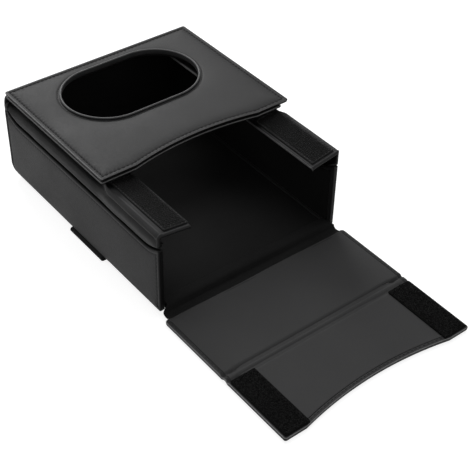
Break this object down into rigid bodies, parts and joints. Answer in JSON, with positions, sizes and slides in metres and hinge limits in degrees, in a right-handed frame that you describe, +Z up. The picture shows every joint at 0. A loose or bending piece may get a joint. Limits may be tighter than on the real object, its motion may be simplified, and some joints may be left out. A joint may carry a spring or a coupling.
{
  "type": "car tissue holder",
  "caption": "Leather-wrapped tissue box with an oval mouth in its top, an open front closed by a folding flap, and an elastic strap under it for a sun visor.",
  "frame": {"origin": "under the middle of the box, on the flat underside of the elastic strap that the box stands on", "axes": "+X across the box's width, -Y out of its open front along the unfolded flap, +Z up through the oval mouth"},
  "size_m": [0.144, 0.3021, 0.0748],
  "materials": {
    "cover": "satin",
    "binding": "satin",
    "lining": "matte",
    "board": "matte",
    "hook": "matte",
    "loop": "matte",
    "elastic": "matte"
  },
  "bodies": {
    "box": {"bottom_cover": "cover", "bottom_board": "board", "bottom_lining": "lining", "back_cover": "cover", "back_board": "board", "back_lining": "lining", "left_wall_cover": "cover", "left_wall_board": "board", "left_wall_lining": "lining", "right_wall_cover": "cover", "right_wall_board": "board", "right_wall_lining": "lining", "back_lower_fold": "cover", "back_upper_fold": "cover", "top_cover": "cover", "top_board": "board", "top_lining": "lining", "top_underlay": "cover", "mouth_binding": "binding", "elastic_strap": "elastic", "left_wing_cover": "cover", "left_wing_board": "board", "left_wing_lining": "lining", "left_hook_patch": "hook", "right_wing_cover": "cover", "right_wing_board": "board", "right_wing_lining": "lining", "right_hook_patch": "hook", "front_hinge": "cover"},
    "front_flap": {"front_flap_cover": "cover", "front_flap_board": "board", "front_flap_lining": "lining", "tongue_hinge": "cover"},
    "tongue": {"tongue_cover": "cover", "tongue_board": "board", "tongue_lining": "lining", "left_loop_patch": "loop", "right_loop_patch": "loop"}
  },
  "joints": [
    {"name": "front_flap_fold", "type": "hinge", "parent": "box", "child": "front_flap", "pos_m": [0, -0.0922, 0.0026], "axis": [-1, 0, 0], "range_deg": [0, 90]},
    {"name": "tongue_fold", "type": "hinge", "parent": "front_flap", "child": "tongue", "pos_m": [0, -0.1568, 0.003], "axis": [-1, 0, 0], "range_deg": [0, 90]}
  ]
}
